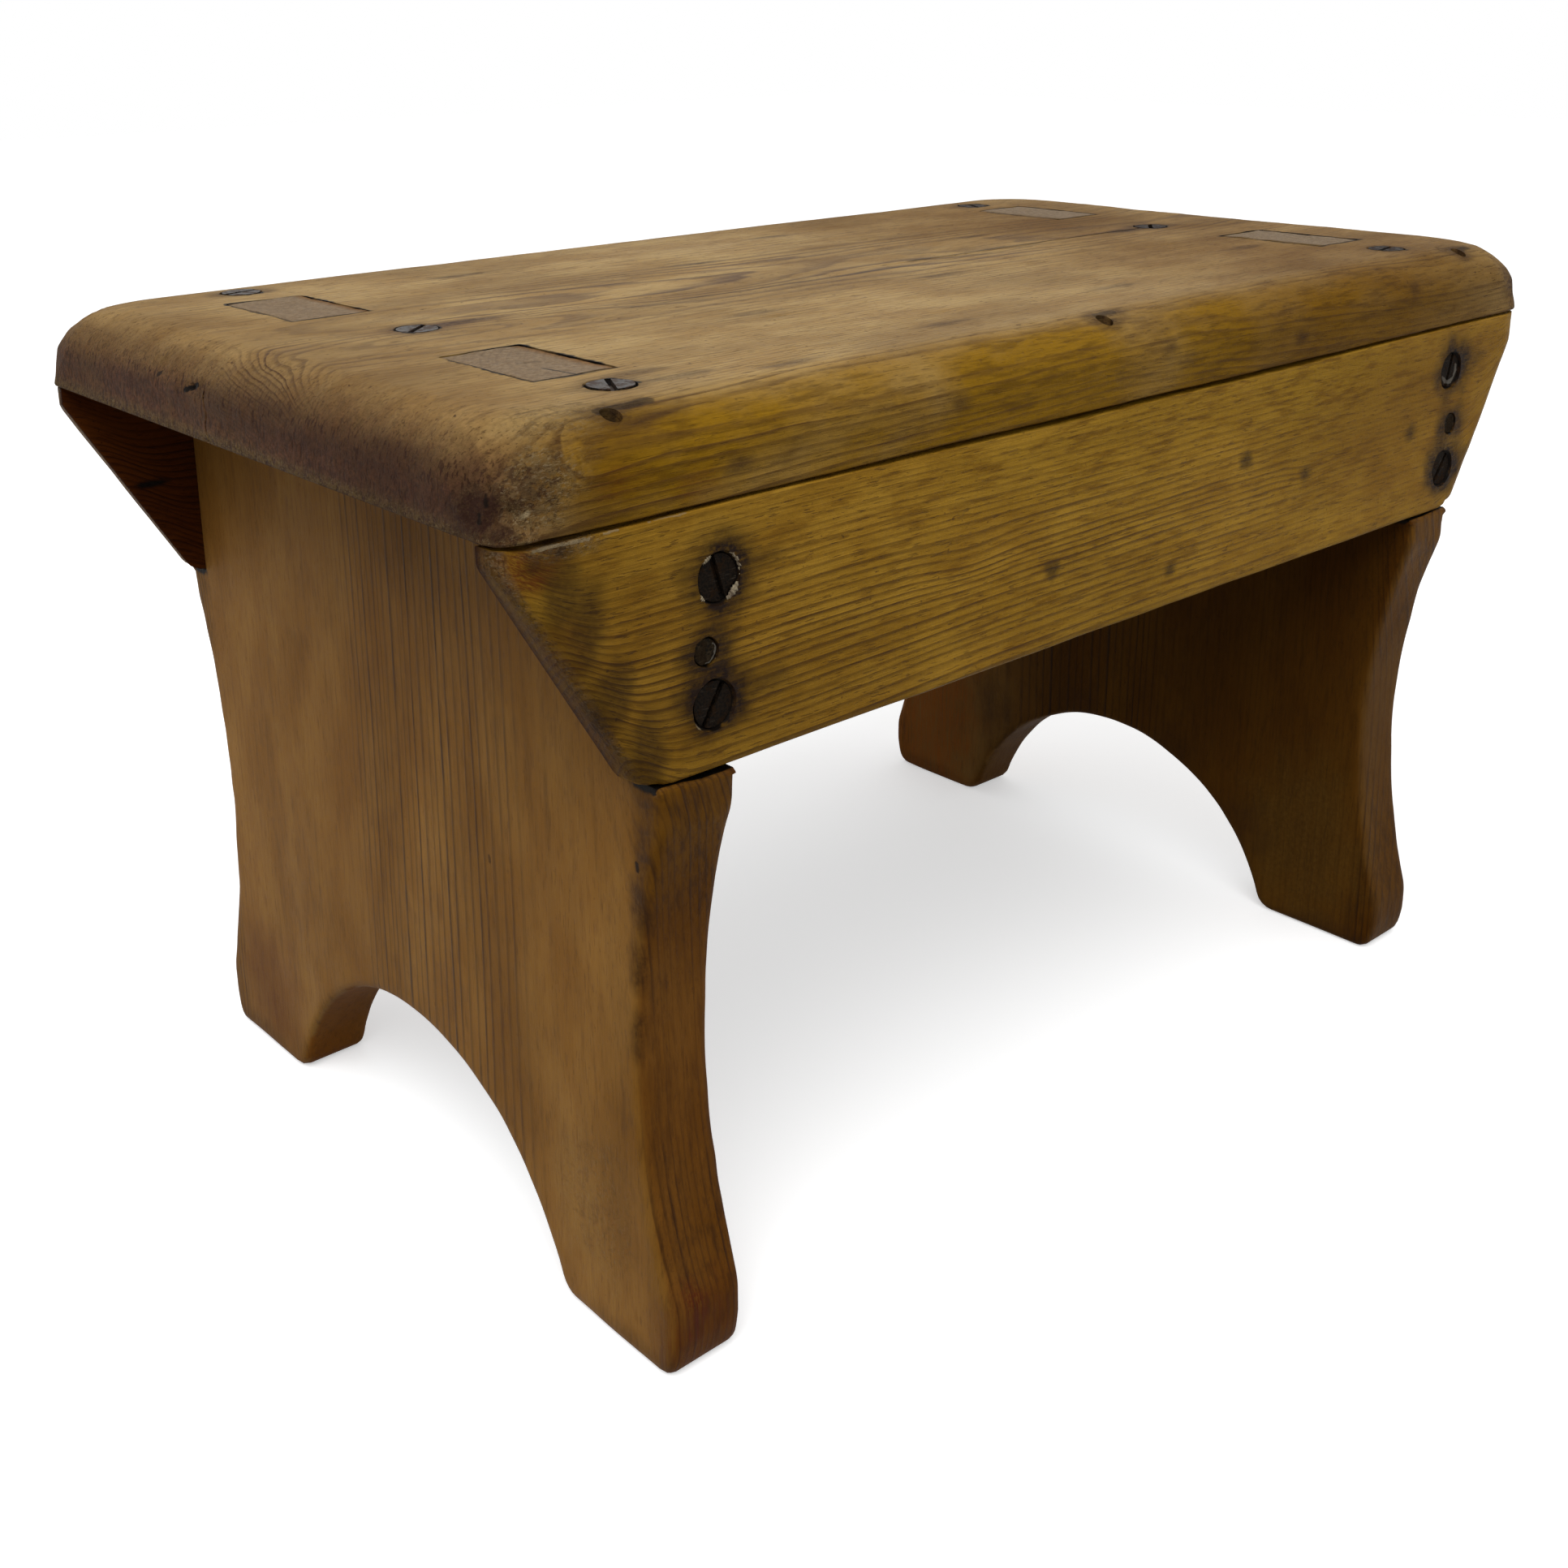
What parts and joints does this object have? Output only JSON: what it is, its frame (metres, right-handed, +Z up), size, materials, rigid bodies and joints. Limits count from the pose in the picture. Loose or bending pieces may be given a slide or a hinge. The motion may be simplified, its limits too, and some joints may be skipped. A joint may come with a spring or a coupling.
{
  "type": "shoe fitting stool",
  "caption": "Low boarded pine stool with a nosed rectangular seat, arched and waisted end boards, through tenons and screwed side aprons.",
  "frame": {"origin": "on the floor, under the middle of the seat", "axes": "+X along the seat to the right hand end as the picture shows it, +Y from the front apron to the back apron, +Z up"},
  "size_m": [0.34, 0.19, 0.2],
  "materials": {
    "seat_pine": "old waxed pine, tan brown, lightly worn, satin",
    "leg_pine": "old waxed pine with close upright grain, satin",
    "apron_pine": "old waxed pine, golden ochre with raised dark grain",
    "worn_screw_steel": "worn grey screw heads with brown stain",
    "dark_screw_iron": "near black browned iron",
    "nail_iron": "dull grey brown iron",
    "old_filler": "dry cream filler"
  },
  "bodies": {
    "root": {"seat_board": "seat_pine", "left_leg": "leg_pine", "right_leg": "leg_pine", "front_apron": "apron_pine", "back_apron": "apron_pine", "left_seat_screws": "worn_screw_steel", "right_seat_screws": "worn_screw_steel", "front_left_apron_screws": "dark_screw_iron", "front_left_apron_nail": "nail_iron", "front_right_apron_screws": "dark_screw_iron", "front_right_apron_nail": "nail_iron", "back_left_apron_screws": "dark_screw_iron", "back_left_apron_nail": "nail_iron", "back_right_apron_screws": "dark_screw_iron", "back_right_apron_nail": "nail_iron", "front_seat_nails": "nail_iron", "back_seat_nails": "nail_iron", "screw_filler": "old_filler"}
  },
  "joints": []
}
